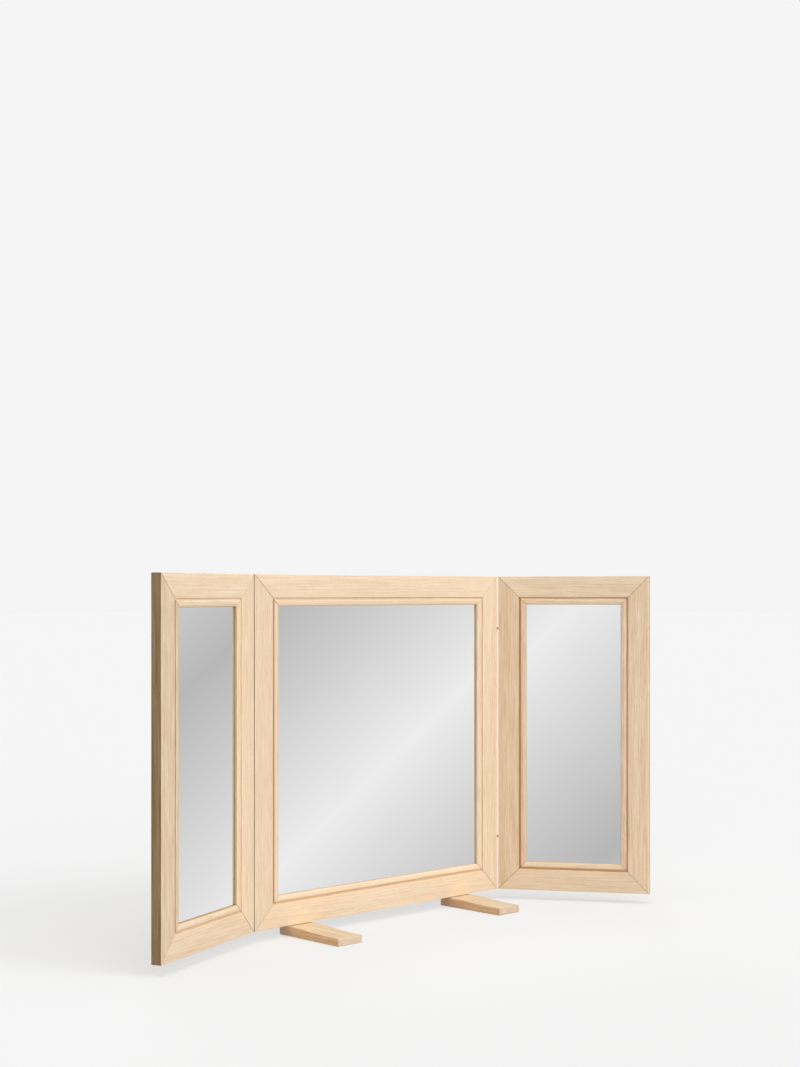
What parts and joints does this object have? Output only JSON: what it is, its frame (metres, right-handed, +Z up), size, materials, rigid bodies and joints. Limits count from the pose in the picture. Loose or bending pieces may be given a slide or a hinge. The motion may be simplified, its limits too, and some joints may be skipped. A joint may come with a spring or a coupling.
{
  "type": "three-panel folding table mirror",
  "caption": "Folding table mirror: a framed centre mirror on wedge feet, with a hinged framed mirror wing at each side that folds in over it.",
  "frame": {"origin": "on the floor, under the middle of the whole outline at rest, wings part folded, on a 0.5 mm grid", "axes": "+X along the centre panel to the right as seen from the glass side, +Y to the back of the centre panel, +Z up; the centre mirror faces -Y"},
  "size_m": [1.0525, 0.2665, 0.618],
  "materials": {
    "frame_oak": "matt oiled pale oak, fine straight grain along each member",
    "foot_oak": "matt oiled pale oak",
    "mirror": "polished silvered glass",
    "liner": "thin grey-brown felted liner sheet",
    "back_board": "bare birch plywood",
    "hinge_brass": "dull brown brass",
    "screw_steel": "zinc-plated steel"
  },
  "bodies": {
    "centre_frame": {"centre_back_board": "back_board", "centre_bottom_rail": "frame_oak", "centre_bottom_rail_board_screw": "screw_steel", "centre_left_stile": "frame_oak", "centre_left_stile_board_screw": "screw_steel", "centre_liner": "liner", "centre_mirror_glass": "mirror", "centre_right_stile": "frame_oak", "centre_right_stile_board_screw": "screw_steel", "centre_top_rail": "frame_oak", "centre_top_rail_board_screw": "screw_steel", "left_foot": "foot_oak", "left_foot_screw_1": "screw_steel", "left_foot_screw_2": "screw_steel", "left_lower_frame_cup": "hinge_brass", "left_upper_frame_cup": "hinge_brass", "right_foot": "foot_oak", "right_foot_screw_1": "screw_steel", "right_foot_screw_2": "screw_steel", "right_lower_frame_cup": "hinge_brass", "right_upper_frame_cup": "hinge_brass"},
    "left_wing": {"left_lower_wing_cup": "hinge_brass", "left_upper_wing_cup": "hinge_brass", "left_wing_back_board": "back_board", "left_wing_bottom_rail": "frame_oak", "left_wing_bottom_rail_board_screw": "screw_steel", "left_wing_inner_stile": "frame_oak", "left_wing_inner_stile_board_screw": "screw_steel", "left_wing_liner": "liner", "left_wing_mirror_glass": "mirror", "left_wing_outer_stile": "frame_oak", "left_wing_outer_stile_board_screw": "screw_steel", "left_wing_top_rail": "frame_oak", "left_wing_top_rail_board_screw": "screw_steel"},
    "right_wing": {"right_lower_wing_cup": "hinge_brass", "right_upper_wing_cup": "hinge_brass", "right_wing_back_board": "back_board", "right_wing_bottom_rail": "frame_oak", "right_wing_bottom_rail_board_screw": "screw_steel", "right_wing_inner_stile": "frame_oak", "right_wing_inner_stile_board_screw": "screw_steel", "right_wing_liner": "liner", "right_wing_mirror_glass": "mirror", "right_wing_outer_stile": "frame_oak", "right_wing_outer_stile_board_screw": "screw_steel", "right_wing_top_rail": "frame_oak", "right_wing_top_rail_board_screw": "screw_steel"},
    "left_frame_links": {"left_lower_frame_link": "hinge_brass", "left_upper_frame_link": "hinge_brass"},
    "left_wing_links": {"left_lower_wing_link": "hinge_brass", "left_upper_wing_link": "hinge_brass"},
    "right_frame_links": {"right_lower_frame_link": "hinge_brass", "right_upper_frame_link": "hinge_brass"},
    "right_wing_links": {"right_lower_wing_link": "hinge_brass", "right_upper_wing_link": "hinge_brass"}
  },
  "joints": [
    {"name": "left_wing_fold", "type": "hinge", "parent": "centre_frame", "child": "left_wing", "pos_m": [-0.2505, 0.1075, 0.018], "axis": [0, 0, 1], "range_deg": [-21.3, 158.7]},
    {"name": "left_frame_links_turn", "type": "hinge", "parent": "centre_frame", "child": "left_frame_links", "pos_m": [-0.2465, 0.116, 0.118], "axis": [0, 0, 1], "range_deg": [-10.65, 79.35]},
    {"name": "left_wing_links_turn", "type": "hinge", "parent": "left_wing", "child": "left_wing_links", "pos_m": [-0.25731, 0.11397, 0.118], "axis": [0, 0, 1], "range_deg": [-79.35, 10.65]},
    {"name": "right_wing_fold", "type": "hinge", "parent": "centre_frame", "child": "right_wing", "pos_m": [0.3515, 0.1075, 0.018], "axis": [0, 0, -1], "range_deg": [-56.5, 123.5]},
    {"name": "right_frame_links_turn", "type": "hinge", "parent": "centre_frame", "child": "right_frame_links", "pos_m": [0.3475, 0.116, 0.118], "axis": [0, 0, -1], "range_deg": [-28.25, 61.75]},
    {"name": "right_wing_links_turn", "type": "hinge", "parent": "right_wing", "child": "right_wing_links", "pos_m": [0.3608, 0.10886, 0.118], "axis": [0, 0, -1], "range_deg": [-61.75, 28.25]}
  ],
  "couplings": [
    {"joint": "left_frame_links_turn", "follows": "left_wing_fold", "ratio": 0.5},
    {"joint": "left_wing_links_turn", "follows": "left_wing_fold", "ratio": -0.5},
    {"joint": "right_frame_links_turn", "follows": "right_wing_fold", "ratio": 0.5},
    {"joint": "right_wing_links_turn", "follows": "right_wing_fold", "ratio": -0.5}
  ]
}
